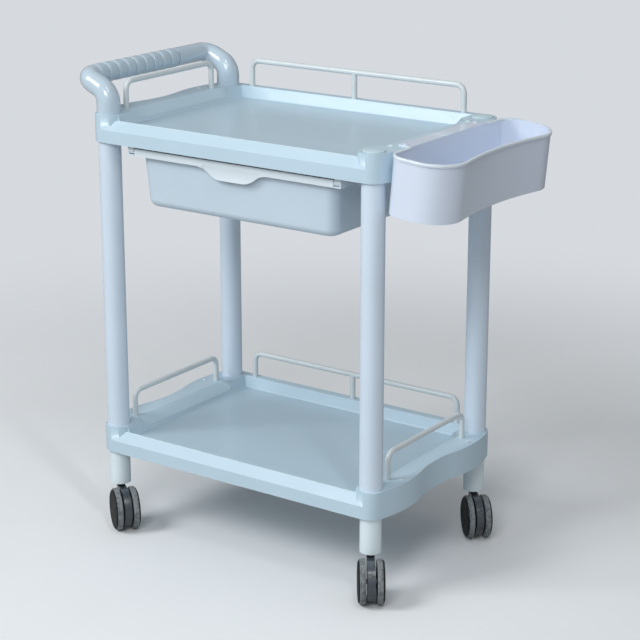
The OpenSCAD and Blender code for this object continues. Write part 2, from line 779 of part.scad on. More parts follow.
// Outline of the front strip with its pull tongue, in X and Z; each flank is two equal arcs
module strip_outline() {
    flat = pull_flat / 2;
    run = pull_w / 2 - flat;
    r = (run * run / pull_h + pull_h) / 4;
    low = strip_low - pull_h;
    translate([-strip_x, strip_low]) square([2 * strip_x, strip_h]);
    translate([-flat, low]) square([2 * flat, pull_h + eps]);
    for (m = [0, 1]) mirror([m, 0]) {
        intersection() {
            translate([flat - eps, low]) square([run / 2 + eps, pull_h + eps]);
            translate([flat, low + r]) circle(r = r);
        }
        difference() {
            translate([flat + run / 2, low + pull_h / 2]) square([run / 2, pull_h / 2 + eps]);
            translate([flat + run, strip_low - r]) circle(r = r);
        }
    }
}

module drawer_front() {
    front = strip_y;
    scoop_r = 46;
    scoop_in = 1.8;
    color("#e8e6da") difference() {
        union() {
            translate([0, front + strip_t / 2, 0]) along_y(strip_t) strip_outline();
            translate([-strip_x, front, flange_top])
                cube([2 * strip_x, strip_t + strip_return, strip_top - flange_top]);
        }
        translate([0, front + scoop_in - scoop_r, strip_low - pull_h * 0.35])
            rotate([0, 90, 0]) cylinder(r = scoop_r, h = pull_w * 0.8, center = true);
        for (x = front_screw_xs)
            translate([x, front + strip_t + strip_return / 2, flange_top - eps])
                cylinder(d = screw_d + 2 * fit_gap, h = strip_h);
    }
}

module drawer_front_screws() {
    head_h = 2;
    color("#b8bcc0") for (x = front_screw_xs)
        translate([x, strip_y + strip_t + strip_return / 2, strip_top]) {
            cylinder(d = 2 * screw_d, h = head_h);
            mirror([0, 0, 1]) cylinder(d = screw_d, h = strip_top - flange_low);
        }
}

// Side bin

module bin_plan(grow = 0) {
    c = bin_corner + grow;
    k = bin_inner_corner + min(grow, 0);
    start = grow < 0 ? -grow : 0;
    join_y = bin_lobe_y * (bin_waist_r - grow) / (bin_waist_r + bin_corner);
    difference() {
        union() {
            translate([start, -join_y]) square([bin_d + grow - start, 2 * join_y]);
            translate([start + k, -bin_half_l - grow])
                square([bin_d - bin_corner - start - k, 2 * (bin_half_l + grow)]);
            translate([start, -bin_half_l - grow + k])
                square([bin_d - bin_corner, 2 * (bin_half_l + grow - k)]);
            for (s = sides) {
                translate([bin_d - bin_corner, s * bin_lobe_y]) circle(r = c);
                translate([start + k, s * (bin_half_l + grow - k)]) circle(r = k);
            }
        }
        intersection() {
            translate([bin_waist_x, 0]) circle(r = bin_waist_r - grow, $fn = 128);
            translate([bin_d, 0]) square([bin_d, 2 * bin_lobe_y], center = true);
        }
    }
}

module leaned() {
    translate([bin_x, 0, bin_z]) rotate([0, bin_lean, 0]) children();
}

module side_bin() {
    inner_lean = atan(bin_draft / bin_h);
    color("#dcdfec") difference() {
        union() {
            leaned() difference() {
                union() {
                    translate([0, 0, -bin_h]) linear_extrude(bin_h) bin_plan();
                    translate([0, 0, -bead_h]) linear_extrude(bead_h) bin_plan(bead_out);
                }
                difference() {
                    translate([0, 0, bin_wall - bin_h]) linear_extrude(bin_h) bin_plan(-bin_wall);
                    rotate([0, -inner_lean, 0]) translate([-bin_d, -bin_l, -2 * bin_h])
                        cube([bin_d + bin_wall, 2 * bin_l, 3 * bin_h]);
                }
                rotate([0, -inner_lean, 0]) translate([-bin_d, -bin_l, -2 * bin_h])
                    cube([bin_d, 2 * bin_l, 3 * bin_h]);
            }
            translate([bin_x + bin_wall, 0, upper_ledge_z]) linear_extrude(hook_t) polygon([
                [0, -hook_l / 2], [0, hook_l / 2],
                [-hook_w, hook_l / 2 - hook_slant], [-hook_w, hook_slant - hook_l / 2]
            ]);
            leaned() translate([bin_d - bin_wall - tab_out, -bin_lobe_y, -bead_h - tab_t])
                cube([bin_wall / 2 + tab_out, tab_l, tab_t]);
        }
        for (sy = sides) {
            translate([ledge_screw_x, sy * ledge_screw_y, upper_ledge_z - eps])
                cylinder(d = screw_d + 2 * fit_gap, h = hook_t + 2 * eps);
            translate([end_rail_x, sy * end_rail_leg_y, upper_ledge_z - eps])
                cylinder(r = rail_r + plug_lip + move_gap, h = hook_t + 2 * eps);
        }
    }
}

// A pan-head screw standing on the surface at its origin
module pan_screw(bite) {
    ball = ledge_screw_d;
    mirror([0, 0, 1]) cylinder(d = screw_d, h = bite);
    intersection() {
        cylinder(d = ledge_screw_d, h = ledge_screw_h);
        translate([0, 0, ledge_screw_h - ball]) sphere(r = ball);
    }
}

module ledge_screws() {
    color("#c4c9cc") {
        for (sx = sides, sy = sides)
            translate([sx * ledge_screw_x, sy * ledge_screw_y, lower_ledge_z]) pan_screw(screw_bite);
        for (sy = sides) {
            translate([-ledge_screw_x, sy * ledge_screw_y, upper_ledge_z]) pan_screw(screw_bite);
            translate([ledge_screw_x, sy * ledge_screw_y, bin_z]) pan_screw(screw_bite);
        }
    }
}

// Casters, built with the swivel axis on the origin and the axle out along +X

module caster_at(sx, sy, yaw) {
    translate([sx * post_x, sy * post_y, 0]) rotate([0, 0, yaw]) children();
}

module on_axle(y = 0) {
    translate([caster_trail, y, wheel_r]) rotate([-90, 0, 0]) children();
}

module caster_stems() {
    color("#2a2d31") at_posts() {
        translate([0, 0, stem_low]) cylinder(r = stem_r, h = leg_bottom + leg_plug - stem_low);
        translate([0, 0, hood_top + move_gap])
            cylinder(r = stem_collar_r, h = leg_bottom - hood_top - move_gap);
    }
}

module hood() {
    boss_r = hood_w / 2;
    shield_low = wheel_r - hood_shield;
    lower_r = hood_r - hood_step;
    color("#3b4046") difference() {
        union() {
            on_axle() cylinder(r = lower_r, h = hood_w, center = true);
            intersection() {
                on_axle() cylinder(r = hood_r, h = hood_w, center = true);
                translate([caster_trail, 0, shield_low + wheel_r])
                    cube([wheel_d, wheel_d, 2 * wheel_r], center = true);
            }
            along_y(hood_w) polygon([
                [-boss_r, wheel_r], [-boss_r, hood_top - hood_step], [0, hood_top],
                [caster_trail, wheel_r + hood_r], [caster_trail, wheel_r]
            ]);
            translate([0, 0, wheel_r - axle_r]) cylinder(r = boss_r, h = hood_top - wheel_r + axle_r);
            translate([caster_trail, 0, wheel_r]) rotate([0, stud_lean, 0])
                cylinder(d = stud_d, h = hood_r + hood_in / 4);
        }
        translate([0, 0, stem_low - move_gap]) cylinder(r = stem_r + run_gap, h = hood_top);
        on_axle() cylinder(r = axle_r + fit_gap, h = 2 * hood_w, center = true);
        translate([0, 0, hood_low - wheel_d]) cube([4 * wheel_d, 2 * hood_w, 2 * wheel_d], center = true);
    }
}

module axle() {
    color("#9a9ea2") on_axle() cylinder(r = axle_r, h = 2 * wheel_y + wheel_w / 2, center = true);
}

// A hub that carries its tyre against a domed outer flange, open towards the hood
module hub(s) {
    half = wheel_w / 2;
    flange_r = wheel_r - hub_flange_in;
    seat = tyre_w - half;
    boss = axle_d;
    web = seat - hub_lip;
    color("#1f2226") on_axle(s * wheel_y) mirror([0, 0, s < 0 ? 1 : 0]) difference() {
        rotate_extrude() polygon([
            [0, -half], [boss, -half], [boss, web], [hub_r - hub_lip, web], [hub_r - hub_lip, -half],
            [hub_r, -half], [hub_r, seat], [flange_r, seat], [flange_r, half - hub_dome],
            [flange_r - hub_lip, half - hub_dome / 4], [flange_r - 3 * hub_lip, half],
            [1.5 * boss, half - hub_dome / 2], [0, half - hub_dome / 2]
        ]);
        translate([0, 0, -wheel_w]) cylinder(r = axle_r + run_gap, h = wheel_w * 1.25 + move_gap);
    }
}

module tyre(s) {
    round = tyre_w / 4;
    inner = hub_r + fit_gap;
    low = -wheel_w / 2;
    high = low + tyre_w - fit_gap;
    color("#75787b") on_axle(s * wheel_y) mirror([0, 0, s < 0 ? 1 : 0]) rotate_extrude() difference() {
        translate([inner, low]) square([wheel_r - inner, high - low]);
        for (end = [[low, 1], [high, -1]]) difference() {
            translate([wheel_r, end[0]]) square(2 * round, center = true);
            translate([wheel_r - round, end[0] + end[1] * round]) circle(r = round);
        }
    }
}

module front_left_caster() {
    placed() caster_at(-1, -1, yaw_front_left) children();
}

module front_right_caster() {
    placed() caster_at(1, -1, yaw_front_right) children();
}

module rear_left_caster() {
    placed() caster_at(-1, 1, yaw_rear_left) children();
}

module rear_right_caster() {
    placed() caster_at(1, 1, yaw_rear_right) children();
}

placed() translate([0, 0, upper_tray_z]) tray();  // upper_tray
placed() translate([0, 0, lower_tray_z]) tray();  // lower_tray
placed() post(-1, -1);  // post_front_left
placed() post(1, -1);  // post_front_right
placed() post(-1, 1);  // post_rear_left
placed() post(1, 1);  // post_rear_right
placed() leg(-1, -1);  // leg_front_left
placed() leg(1, -1);  // leg_front_right
placed() leg(-1, 1);  // leg_rear_left
placed() leg(1, 1);  // leg_rear_right
placed() post_cap(-1);  // post_cap_front
placed() post_cap(1);  // post_cap_rear
placed() rail_hole_plugs();
placed() handle_elbow(-1);  // handle_elbow_front
placed() handle_elbow(1);  // handle_elbow_rear
placed() handle_grip();
placed() back_rail(upper_ledge_z);  // upper_back_rail
placed() end_rail(-1, upper_ledge_z);  // upper_left_rail
placed() back_rail(lower_ledge_z);  // lower_back_rail
placed() end_rail(-1, lower_ledge_z);  // lower_left_rail
placed() end_rail(1, lower_ledge_z);  // lower_right_rail
placed() drawer_runner(-1);  // drawer_runner_left
placed() drawer_runner(1);  // drawer_runner_right
placed() runner_screws();
placed() drawer_tub();
placed() drawer_front();
placed() drawer_front_screws();
placed() side_bin();
placed() ledge_screws();
placed() caster_stems();
front_left_caster() hood();  // hood_front_left
front_left_caster() axle();  // axle_front_left
front_left_caster() hub(-1);  // inner_hub_front_left
front_left_caster() tyre(-1);  // inner_tyre_front_left
front_left_caster() hub(1);  // outer_hub_front_left
front_left_caster() tyre(1);  // outer_tyre_front_left
front_right_caster() hood();  // hood_front_right
front_right_caster() axle();  // axle_front_right
front_right_caster() hub(-1);  // inner_hub_front_right
front_right_caster() tyre(-1);  // inner_tyre_front_right
front_right_caster() hub(1);  // outer_hub_front_right
front_right_caster() tyre(1);  // outer_tyre_front_right
rear_left_caster() hood();  // hood_rear_left
rear_left_caster() axle();  // axle_rear_left
rear_left_caster() hub(-1);  // inner_hub_rear_left
rear_left_caster() tyre(-1);  // inner_tyre_rear_left
rear_left_caster() hub(1);  // outer_hub_rear_left
rear_left_caster() tyre(1);  // outer_tyre_rear_left
rear_right_caster() hood();  // hood_rear_right
rear_right_caster() axle();  // axle_rear_right
rear_right_caster() hub(-1);  // inner_hub_rear_right
rear_right_caster() tyre(-1);  // inner_tyre_rear_right
rear_right_caster() hub(1);  // outer_hub_rear_right
rear_right_caster() tyre(1);  // outer_tyre_rear_right
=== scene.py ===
"""Looks of the instrument cart: rounded, turned and swept pieces, their finishes and the studio."""

import json
import math

import bmesh
import bpy
from bpy.props import FloatProperty, FloatVectorProperty, IntProperty, PointerProperty
from mathutils import Matrix, Vector

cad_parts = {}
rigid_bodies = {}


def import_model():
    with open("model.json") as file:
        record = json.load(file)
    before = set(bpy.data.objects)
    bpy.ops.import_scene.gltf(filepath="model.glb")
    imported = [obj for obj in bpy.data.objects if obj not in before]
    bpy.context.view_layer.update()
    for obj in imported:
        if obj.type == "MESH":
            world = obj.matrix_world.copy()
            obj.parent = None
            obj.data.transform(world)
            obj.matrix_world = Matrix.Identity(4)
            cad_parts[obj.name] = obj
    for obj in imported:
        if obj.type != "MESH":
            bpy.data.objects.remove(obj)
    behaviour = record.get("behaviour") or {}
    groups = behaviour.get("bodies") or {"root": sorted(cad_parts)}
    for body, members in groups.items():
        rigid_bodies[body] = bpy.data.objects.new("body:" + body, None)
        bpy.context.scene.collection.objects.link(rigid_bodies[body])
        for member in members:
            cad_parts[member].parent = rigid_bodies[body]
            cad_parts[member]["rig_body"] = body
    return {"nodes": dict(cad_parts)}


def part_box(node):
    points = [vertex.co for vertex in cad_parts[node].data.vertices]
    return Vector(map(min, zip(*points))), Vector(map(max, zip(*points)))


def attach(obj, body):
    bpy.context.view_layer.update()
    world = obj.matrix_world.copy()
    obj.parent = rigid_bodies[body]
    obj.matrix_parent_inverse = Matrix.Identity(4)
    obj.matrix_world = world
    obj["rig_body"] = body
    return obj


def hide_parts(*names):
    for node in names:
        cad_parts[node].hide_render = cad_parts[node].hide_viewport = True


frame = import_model()

bl_info = {
    "name": "Instrument cart",
    "version": (1, 0, 0),
    "blender": (4, 5, 0),
    "location": "View3D > Sidebar > Cart",
    "description": "Builds the visible pieces of a two-shelf instrument cart around its CAD frame",
    "category": "Object",
}

CAD = frame["nodes"]
TRAYS = ("upper_tray", "lower_tray")
CORNERS = ("front_left", "front_right", "rear_left", "rear_right")
BACK_RAILS = ("upper_back_rail", "lower_back_rail")
END_RAILS = ("upper_left_rail", "lower_left_rail", "lower_right_rail")
SCREWS = ("ledge_screws", "runner_screws", "drawer_front_screws")
SIDES = (-1, 1)
X, Y, UP = Vector((1, 0, 0)), Vector((0, 1, 0)), Vector((0, 0, 1))

# Points closer than WELD are one point, and points closer than NEAR to a plane lie in it.
WELD = 0.00005
NEAR = 0.0002

# Faces that turn less than FLAT are one face. Past a crease angle an edge is rounded,
# and past a sharp angle it is shaded as an edge.
FLAT = math.radians(0.3)
CREASE = math.radians(28)
LIP_CREASE = math.radians(20)
TUB_CREASE = math.radians(60)
SHARP = math.radians(40)
TRAY_SHARP = math.radians(24)
QUARTER = math.radians(90)

# Steps round a full turn or a tube, and steps along a bend or a finger rib.
GRIP_SIDES = 64
TYRE_SIDES = 96
ELBOW_SIDES = 56
ROD_SIDES = 32
BEAD_SIDES = 16
ELBOW_STEPS = 14
ROD_STEPS = 10
RIB_STEPS = 14

# A face whose normal rises this far looks straight up.
LOOKS_UP = 0.999
# Thickness of the layer that the finish of a tray's floor takes in.
FLOOR_LAYER = 0.0012
PLASTIC_IOR = 1.49

# The studio: half the width of the floor, the ring in which it fades, and the photograph's camera.
FLOOR_REACH = 40
FLOOR_FADE = (0.7, 2.3)
SENSOR = 36
CAMERA_PLACE = (1.88106, -2.674064, 1.418949)
CAMERA_TILT = math.radians(72.788)
CAMERA_TURN = math.radians(34.918)


def tone(red, green, blue):
    """Linear colour of a tone given in the 0 to 255 steps of a screen."""
    steps = [channel / 255 for channel in (red, green, blue)]
    return [s / 12.92 if s <= 0.04045 else ((s + 0.055) / 1.055) ** 2.4 for s in steps]


def length(label, description, default):
    return FloatProperty(name=label, description=description, default=default, min=0, unit="LENGTH")


def amount(label, description, default):
    return FloatProperty(name=label, description=description, default=default, min=0)


def colour(label, description, default):
    return FloatVectorProperty(
        name=label, description=description, default=default, size=3, min=0, max=1, subtype="COLOR"
    )


class CartSizes(bpy.types.PropertyGroup):
    tray_edge: length("Tray edge", "Radius on the upper edges of both trays", 0.0020)
    skirt_edge: length("Skirt edge", "Radius on the lower edges of both trays", 0.0012)
    lip_edge: length("Lip edge", "Radius on the edges of the front lips", 0.0012)
    bowl_fillet: length("Bowl fillet", "Radius between the floor and the walls of a tray", 0.003)
    post_edge: length("Post edge", "Radius on the ends of posts and legs", 0.0012)
    cap_edge: length("Cap edge", "Radius on the rims of the caps and plugs", 0.0007)
    cap_ring: length("Cap ring", "Width of the fine ring between a cap and its collar", 0.0008)
    runner_edge: length("Runner edge", "Radius on the edges of the drawer runners", 0.0004)
    strip_edge: length("Strip edge", "Radius on the edges of the drawer front", 0.0009)
    tub_wall: length("Tub wall", "Wall of the drawer tub", 0.0025)
    tub_draft: length("Tub draft", "How far each side of the tub draws in to its bottom", 0.006)
    tub_inset: length("Tub inset", "How far the tub's mouth is inside the front's ends", 0.0066)
    tub_corner: length("Tub corner", "Radius of the upright corners of the tub", 0.018)
    tub_bottom: length("Tub bottom", "Radius between the sides and the bottom of the tub", 0.0115)
    tub_edge: length("Tub edge", "Radius on the edges of the tub's flange", 0.0005)
    tub_flange: length("Tub flange", "Width of the flange in front of and behind the tub", 0.013)
    bin_edge: length("Bin edge", "Radius on the rim of the side bin", 0.0019)
    bin_bead: length("Bin bead", "Radius of the round bead on the rim of the side bin", 0.0023)
    bin_flange: length("Bin flange", "Radius on the bin's flange and under its rim", 0.0006)
    bin_bottom: length("Bin bottom", "Radius between the walls and the bottom of the bin", 0.004)
    bead_sunk: FloatProperty(
        name="Bead depth",
        description="Depth of the bead's middle under the rim, as a share of the bead's radius",
        default=0.85,
        min=0,
        max=1,
        subtype="FACTOR",
    )
    screw_edge: length("Screw edge", "Radius on the heads of the screws", 0.0003)
    steel_edge: length("Steel edge", "Radius on the ends of the caster stems and axles", 0.0004)
    hood_width: length("Hood width", "Width of a caster hood between the wheels", 0.0134)
    hood_edge: length("Hood edge", "Radius on the rims of the caster hoods", 0.0018)
    hub_edge: length("Hub edge", "Radius on the edges of the wheel hubs", 0.0006)
    tyre_edge: length("Tyre edge", "Radius on the shoulders of the tyres", 0.0018)
    foot_r: length("Handle foot", "Radius of the handle where it leaves the tray", 0.021)
    foot_depth: length("Foot depth", "How far the handle goes down into the tray", 0.02)
    foot_step: length("Foot step", "Step from the handle's foot to its part in the tray", 0.001)
    bar_r: length("Handle bar", "Radius of the handle beside the grip", 0.01725)
    handle_rise: length("Handle rise", "Straight part of the handle above the tray", 0.018)
    lean_r: length("Lean radius", "Radius of the bend that leans the handle outwards", 0.028)
    lean: FloatProperty(
        name="Lean",
        description="Angle the handle leans outwards",
        default=math.radians(66),
        subtype="ANGLE",
    )
    lean_run: length("Lean run", "Straight part of the handle between its two bends", 0.0173)
    corner_r: length("Corner radius", "Radius of the bend into the bar of the handle", 0.021)
    grip_ribs: IntProperty(
        name="Grip ribs", description="Number of finger ribs on the grip", default=9, min=1
    )
    grip_rise: length("Rib rise", "Depth of the grooves between the ribs", 0.0030)
    rail_bend: length("Rail bend", "Radius of the bends of the guard rails", 0.016)


class CartFinishes(bpy.types.PropertyGroup):
    tray: colour("Trays", "Pale ice-blue plastic of the trays", tone(197, 219, 232))
    post: colour("Posts", "Pale blue-grey plastic of the posts", tone(219, 232, 245))
    leg: colour("Legs", "Pale blue-grey plastic of the legs", tone(234, 247, 252))
    cap: colour("Caps", "Pale plastic of the caps and plugs", tone(203, 223, 231))
    handle: colour("Handle", "Glossy light grey-blue plastic of the handle", tone(198, 215, 227))
    grip: colour("Grip", "Light grey-blue plastic of the grip", tone(190, 208, 220))
    rail: colour("Rails", "Pale grey powder coat of the guard rails", tone(218, 225, 226))
    cream: colour("Drawer front", "Cool white of the drawer front and runners", tone(226, 236, 242))
    tub: colour("Drawer tub", "Pale grey plastic of the drawer tub", tone(205, 220, 232))
    bin: colour("Side bin", "Lavender white plastic of the side bin", tone(224, 233, 248))
    screw: colour("Screws", "Plated steel of the screws", tone(226, 237, 244))
    axle: colour("Axles", "Plain steel of the axles", tone(176, 178, 181))
    stem: colour("Stems", "Blackened steel of the caster stems", tone(30, 32, 36))
    hood: colour("Hoods", "Charcoal plastic of the caster hoods", tone(66, 73, 81))
    hub: colour("Hubs", "Black plastic of the wheel hubs", tone(18, 19, 21))
    tyre: colour("Tyres", "Worn grey rubber of the tyres", tone(128, 133, 136))
    dust: colour("Dust", "Floor dust on the hoods and hubs", tone(120, 122, 122))


class CartStage(bpy.types.PropertyGroup):
    floor: colour("Floor", "Pale colour of the floor", tone(248, 249, 250))
    back: colour("Background", "Pale colour of the room behind", tone(214, 218, 223))
    room_tint: colour("Room tint", "Colour of the even light of the room", (0.93, 0.97, 1.0))
    lamp_tint: colour("Lamp tint", "Colour of the lamps", (0.95, 0.98, 1.0))
    sky: amount("Room light", "Strength of the even light of the room", 0.32)
    key: amount("Main lamp", "Power of the wide lamp at the front left", 122)
    fill: amount("Side lamp", "Power of the lamp at the front right", 44)
    glint: amount("Strip lamp", "Power of the narrow lamp above", 9)
    lens: amount("Lens", "Focal length in millimetres on a 36 mm sensor", 107.71)


def sizes():
    return bpy.context.scene.cart_sizes


def middle(name):
    low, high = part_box(name)
    return (low + high) / 2


def span(name):
    low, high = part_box(name)
    return high - low


def bowl_floor(tray):
    """Height of a tray's floor: the widest flat face that looks up."""
    areas = {}
    for face in CAD[tray].data.polygons:
        if face.normal.z > LOOKS_UP:
            level = round(face.center.z, 4)
            areas[level] = areas.get(level, 0) + face.area
    return max(areas, key=areas.get)


# Finishes


def wire(tree, made, inputs):
    """Sets the inputs of a node to values, or joins them to other sockets."""
    for key, value in inputs.items():
        if isinstance(value, bpy.types.NodeSocket):
            tree.links.new(value, made.inputs[key])
        else:
            made.inputs[key].default_value = value


def node(tree, kind, inputs=None, **settings):
    """A shader node with its settings and its inputs."""
    made = tree.nodes.new("ShaderNode" + kind)
    for key, value in settings.items():
        setattr(made, key, value)
    wire(tree, made, inputs or {})
    return made


def noise(tree, coords, scale, detail=3.0, roughness=0.55, stretch=None):
    """Factor of a cloud pattern with that many clouds to the metre."""
    if stretch:
        coords = node(tree, "Mapping", {"Vector": coords, "Scale": stretch}).outputs["Vector"]
    inputs = {"Vector": coords, "Scale": scale, "Detail": detail, "Roughness": roughness}
    return node(tree, "TexNoise", inputs).outputs["Fac"]


def between(tree, value, taken, given=(0, 1), **settings):
    """The value taken from one range to another, and held at its ends."""
    ends = zip(("From Min", "From Max", "To Min", "To Max"), (*taken, *given))
    return node(tree, "MapRange", {"Value": value, **dict(ends)}, **settings).outputs["Result"]


def maths(tree, operation, *values, clamp=False):
    """One step of arithmetic on values or sockets."""
    inputs = dict(enumerate(values))
    return node(tree, "Math", inputs, operation=operation, use_clamp=clamp).outputs["Value"]


def height_of(tree, vector):
    return node(tree, "SeparateXYZ", {"Vector": vector}).outputs["Z"]


def shade(base, share):
    """The colour lighter or darker by a share, and never past white."""
    return (*(min(1, channel * share) for channel in base), 1)


def cloudy(tree, factor, base, *stops):
    """The base colour over a pattern, in a row of (place, share) stops from dark to light."""
    made = node(tree, "ValToRGB", {"Fac": factor})
    for _ in stops[2:]:
        made.color_ramp.elements.new(0.5)
    for element, (place, share) in zip(made.color_ramp.elements, stops):
        element.position = place
        element.color = shade(base, share)
    return made.outputs["Color"]


def mixed(tree, factor, first, second):
    """First colour going over to the second with the factor."""
    # The colour sockets share their names with others, so they go by their numbers.
    return node(tree, "Mix", {0: factor, 6: first, 7: second}, data_type="RGBA").outputs[2]


def relief(tree, height, distance, strength, under=None):
    """Normal of a fine relief that is distance metres high, laid over another one if given."""
    inputs = {"Height": height, "Distance": distance, "Strength": strength}
    if under:
        inputs["Normal"] = under
    return node(tree, "Bump", inputs).outputs["Normal"]


def rubbed_and_highlit(tree):
    """How far a place is rubbed by hands and lit by a painted highlight, as the roundings were
    marked.
    """
    return node(tree, "Attribute", attribute_name="wear").outputs["Fac"]


def flat_at(tree, coords, level):
    """One on the faces that look up at a height, and else nought."""
    near = maths(tree, "COMPARE", height_of(tree, coords), level, FLOOR_LAYER)
    facing = height_of(tree, node(tree, "TexCoord").outputs["Normal"])
    return maths(tree, "MULTIPLY", near, between(tree, facing, (0.9, 0.98)))


def start_finish(slot):
    """A new material with its tree, its shader and the object coordinates."""
    finish = bpy.data.materials.new(slot + "_finish")
    finish.use_nodes = True
    tree = finish.node_tree
    return finish, tree, tree.nodes["Principled BSDF"], node(tree, "TexCoord").outputs["Object"]


def plastic(slot, base, rough, gloss=0.0, grain=0.00004, dirt=0.08, worn=1.3, floors=()):
    """Moulded plastic: clouds, dirt, rubbed edges with painted highlight, scuffs, fine grain, and
    pebbled tray floors with painted shade.
    """
    finish, tree, shader, coords = start_finish(slot)
    body = cloudy(tree, noise(tree, coords, 7, detail=4), base, (0.25, 0.965), (0.75, 1.025))
    dust = noise(tree, coords, 46, detail=6, roughness=0.68)
    body = mixed(tree, between(tree, dust, (0.60, 0.80), (0, dirt)), body, shade(base, 0.80))
    patches = between(tree, noise(tree, coords, 60, detail=4), (0.38, 0.66), (0.3, 0.9))
    # Painted highlight: the marked crests of the roundings are lighter, partly as rubbed wear and
    # partly for the light they catch.
    body = mixed(tree, maths(tree, "MULTIPLY", rubbed_and_highlit(tree), patches), body, shade(base, worn))
    normal = relief(tree, noise(tree, coords, 900, detail=2), grain, strength=0.6)
    for tray in floors:
        floor = flat_at(tree, coords, bowl_floor(tray))
        # Painted shade: the floor of each tray's recess is darker than the rest of the tray.
        body = mixed(tree, floor, body, shade(base, 0.90))
        cells = node(tree, "TexVoronoi", {"Vector": coords, "Scale": 420}).outputs["Distance"]
        pebbles = maths(tree, "MULTIPLY", cells, floor)
        normal = relief(tree, pebbles, 0.00012, strength=0.5, under=normal)
    scuffs = noise(tree, coords, 22, stretch=(1, 1, 3))
    looks = {
        "Base Color": body,
        "Roughness": between(tree, scuffs, (0.3, 0.75), (rough - 0.03, rough + 0.06)),
        "Normal": normal,
        "IOR": PLASTIC_IOR,
        "Coat Weight": gloss,
        "Coat Roughness": 0.06,
    }
    wire(tree, shader, looks)
    return finish


def dark_plastic(slot, base, rough, gloss=0.0):
    """Dark satin plastic under a film of pale floor dust, which is thicker on the rubbed edges."""
    finish, tree, shader, coords = start_finish(slot)
    body = cloudy(tree, noise(tree, coords, 30, detail=4), base, (0.3, 0.85), (0.7, 1.12))
    film = noise(tree, coords, 85, detail=7, roughness=0.75)
    film = between(tree, film, (0.54, 0.80), (0, 0.35))
    film = maths(tree, "ADD", film, maths(tree, "MULTIPLY", rubbed_and_highlit(tree), film), clamp=True)
    sheen = noise(tree, coords, 110, detail=5, roughness=0.7)
    looks = {
        "Base Color": mixed(tree, film, body, shade(bpy.context.scene.cart_finishes.dust, 1)),
        "Roughness": between(tree, sheen, (0.3, 0.7), (rough - 0.08, rough + 0.14)),
        "Normal": relief(tree, noise(tree, coords, 800, detail=2), 0.00005, strength=0.6),
        "Coat Weight": gloss,
        "Coat Roughness": 0.18,
    }
    wire(tree, shader, looks)
    return finish


def coating(slot, base):
    """Powder coat on steel: a soft orange peel, faint clouds and a few grey rubs."""
    finish, tree, shader, coords = start_finish(slot)
    body = cloudy(tree, noise(tree, coords, 14, detail=4), base, (0.3, 0.96), (0.7, 1.03))
    rubs = noise(tree, coords, 75, detail=6, roughness=0.7)
    rubs = between(tree, rubs, (0.64, 0.78), (0, 0.35))
    looks = {
        "Base Color": mixed(tree, rubs, body, shade(base, 0.72)),
        "Roughness": between(tree, noise(tree, coords, 30, detail=4), (0.3, 0.7), (0.28, 0.42)),
        "Normal": relief(tree, noise(tree, coords, 380, detail=2), 0.00006, strength=0.5),
        "Coat Weight": 0.25,
        "Coat Roughness": 0.2,
    }
    wire(tree, shader, looks)
    return finish


def steel(slot, base, rough, metallic):
    """Plain, plated or blackened steel with fine marks and uneven sheen."""
    finish, tree, shader, coords = start_finish(slot)
    tarnish = noise(tree, coords, 160, detail=5)
    marks = noise(tree, coords, 240, detail=4, roughness=0.65)
    looks = {
        "Base Color": cloudy(tree, tarnish, base, (0.3, 0.82), (0.72, 1.08)),
        "Roughness": between(tree, marks, (0.3, 0.7), (rough - 0.08, rough + 0.12)),
        "Normal": relief(tree, marks, 0.00003, strength=0.5),
        "Metallic": metallic,
    }
    wire(tree, shader, looks)
    return finish


def rubber(slot, base):
    """Worn grey rubber: pale scrapes, dark patches and dark specks in a rough skin."""
    finish, tree, shader, coords = start_finish(slot)
    scrapes = noise(tree, coords, 130, detail=6, roughness=0.72)
    body = cloudy(tree, scrapes, base, (0.36, 0.45), (0.5, 1), (0.66, 1.35))
    specks = between(tree, noise(tree, coords, 420, roughness=0.6), (0.60, 0.70), (0, 0.55))
    skin = noise(tree, coords, 300, detail=4, roughness=0.7)
    looks = {
        "Base Color": mixed(tree, specks, body, shade(base, 0.45)),
        "Roughness": between(tree, skin, (0.3, 0.7), (0.66, 0.88)),
        "Normal": relief(tree, skin, 0.00025, strength=0.6),
    }
    wire(tree, shader, looks)
    return finish


# The maker of each slot's finish, the name of its colour, and what else sets it apart.
FINISHES = {
    # The edge share lightens the marked crests of the roundings: rubbed wear and a painted
    # highlight, strongest on trays and caps.
    "tray_plastic": (plastic, "tray", {"rough": 0.34, "gloss": 0.15, "worn": 1.5, "floors": TRAYS}),
    "post_plastic": (plastic, "post", {"rough": 0.40}),
    "leg_plastic": (plastic, "leg", {"rough": 0.42, "dirt": 0.25}),
    "cap_plastic": (plastic, "cap", {"rough": 0.40, "gloss": 0.3, "worn": 1.5}),
    "handle_plastic": (plastic, "handle", {"rough": 0.24, "gloss": 1.0, "grain": 0.00001}),
    "grip_plastic": (plastic, "grip", {"rough": 0.30, "gloss": 0.5, "grain": 0.00002}),
    "rail_coating": (coating, "rail", {}),
    "drawer_cream": (plastic, "cream", {"rough": 0.38}),
    "drawer_grey": (plastic, "tub", {"rough": 0.40}),
    "bin_plastic": (plastic, "bin", {"rough": 0.32, "gloss": 0.6, "worn": 1.2}),
    "screw_steel": (steel, "screw", {"rough": 0.36, "metallic": 0.25}),
    "axle_steel": (steel, "axle", {"rough": 0.34, "metallic": 1.0}),
    "stem_black": (steel, "stem", {"rough": 0.42, "metallic": 0.4}),
    "hood_plastic": (dark_plastic, "hood", {"rough": 0.30, "gloss": 0.8}),
    "hub_plastic": (dark_plastic, "hub", {"rough": 0.62}),
    "tyre_rubber": (rubber, "tyre", {}),
}


def finish_for(slot):
    """The material of a record slot, made the first time it is asked for."""
    found = bpy.data.materials.get(slot + "_finish")
    if found:
        return found
    make, colour_name, settings = FINISHES[slot]
    return make(slot, getattr(bpy.context.scene.cart_finishes, colour_name), **settings)


# Shapes


